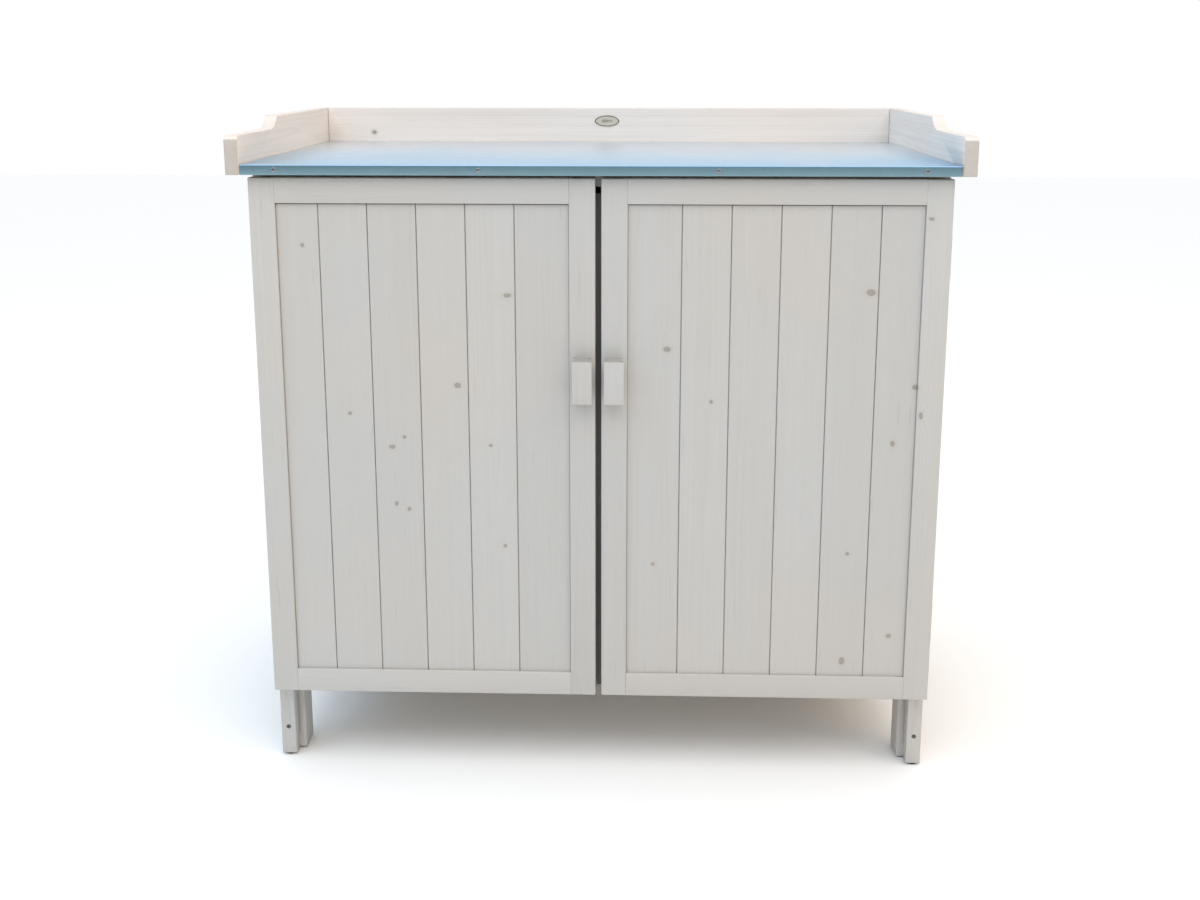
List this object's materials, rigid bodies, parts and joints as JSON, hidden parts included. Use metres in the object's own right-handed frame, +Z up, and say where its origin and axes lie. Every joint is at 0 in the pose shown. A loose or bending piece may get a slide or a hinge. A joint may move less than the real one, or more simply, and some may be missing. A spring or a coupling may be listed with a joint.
{
  "type": "potting bench",
  "caption": "Wooden potting bench: zinc-covered worktop with low stepped side boards and back board, over a cabinet with two hinged board doors, a slatted shelf and four legs.",
  "frame": {"origin": "on the floor, under the middle of the bench, with the handles counted in its depth", "axes": "+X to the right along the worktop, +Y to the back, +Z up"},
  "size_m": [0.98, 0.51, 0.925],
  "materials": {
    "limewashed_wood": "limewashed spruce, matt, grain showing",
    "inner_wood": "limewashed spruce, rougher",
    "zinc_sheet": "galvanised steel sheet, satin, faint spangle",
    "bright_screws": "zinc-plated pan-head screws",
    "screw_steel": "countersunk wood screws, dull",
    "hinge_steel": "zinc-plated butt hinges and catch plates",
    "plaque": "aged metal, blank",
    "glide_plastic": "black nylon",
    "catch_plastic": "brown plastic"
  },
  "bodies": {
    "cabinet": {"worktop_board": "inner_wood", "zinc_sheet": "zinc_sheet", "left_side_board": "limewashed_wood", "right_side_board": "limewashed_wood", "back_board": "limewashed_wood", "oval_plaque": "plaque", "lip_screws": "bright_screws", "upstand_screws": "screw_steel", "front_left_leg": "limewashed_wood", "front_right_leg": "limewashed_wood", "rear_left_leg": "limewashed_wood", "rear_right_leg": "limewashed_wood", "left_front_strip": "limewashed_wood", "right_front_strip": "limewashed_wood", "front_top_rail": "limewashed_wood", "front_bottom_rail": "limewashed_wood", "side_wall_rails": "limewashed_wood", "rear_rails": "limewashed_wood", "left_wall_boards": "limewashed_wood", "right_wall_boards": "limewashed_wood", "back_wall_boards": "limewashed_wood", "inner_battens": "inner_wood", "floor_boards": "inner_wood", "shelf_slats": "inner_wood", "foot_glides": "glide_plastic", "strip_screws": "screw_steel", "magnet_catches": "catch_plastic", "hinge_frame_leaves": "hinge_steel", "hinge_pins": "hinge_steel", "hinge_frame_screws": "screw_steel"},
    "left_door": {"left_door_outer_stile": "limewashed_wood", "left_door_inner_stile": "limewashed_wood", "left_door_top_rail": "limewashed_wood", "left_door_bottom_rail": "limewashed_wood", "left_door_board_1": "limewashed_wood", "left_door_board_2": "limewashed_wood", "left_door_board_3": "limewashed_wood", "left_door_board_4": "limewashed_wood", "left_door_board_5": "limewashed_wood", "left_door_board_6": "limewashed_wood", "left_door_handle": "limewashed_wood", "left_door_hinge_leaves": "hinge_steel", "left_door_screws": "screw_steel", "left_door_catch_plate": "hinge_steel", "left_door_stop_strip": "limewashed_wood"},
    "right_door": {"right_door_outer_stile": "limewashed_wood", "right_door_inner_stile": "limewashed_wood", "right_door_top_rail": "limewashed_wood", "right_door_bottom_rail": "limewashed_wood", "right_door_board_1": "limewashed_wood", "right_door_board_2": "limewashed_wood", "right_door_board_3": "limewashed_wood", "right_door_board_4": "limewashed_wood", "right_door_board_5": "limewashed_wood", "right_door_board_6": "limewashed_wood", "right_door_handle": "limewashed_wood", "right_door_hinge_leaves": "hinge_steel", "right_door_screws": "screw_steel", "right_door_catch_plate": "hinge_steel"}
  },
  "joints": [
    {"name": "left_door_hinge", "type": "hinge", "parent": "cabinet", "child": "left_door", "pos_m": [-0.4679, -0.2115, 0.5], "axis": [0, 0, -1], "range_deg": [0, 175]},
    {"name": "right_door_hinge", "type": "hinge", "parent": "cabinet", "child": "right_door", "pos_m": [0.4679, -0.2115, 0.5], "axis": [0, 0, 1], "range_deg": [0, 175]}
  ]
}
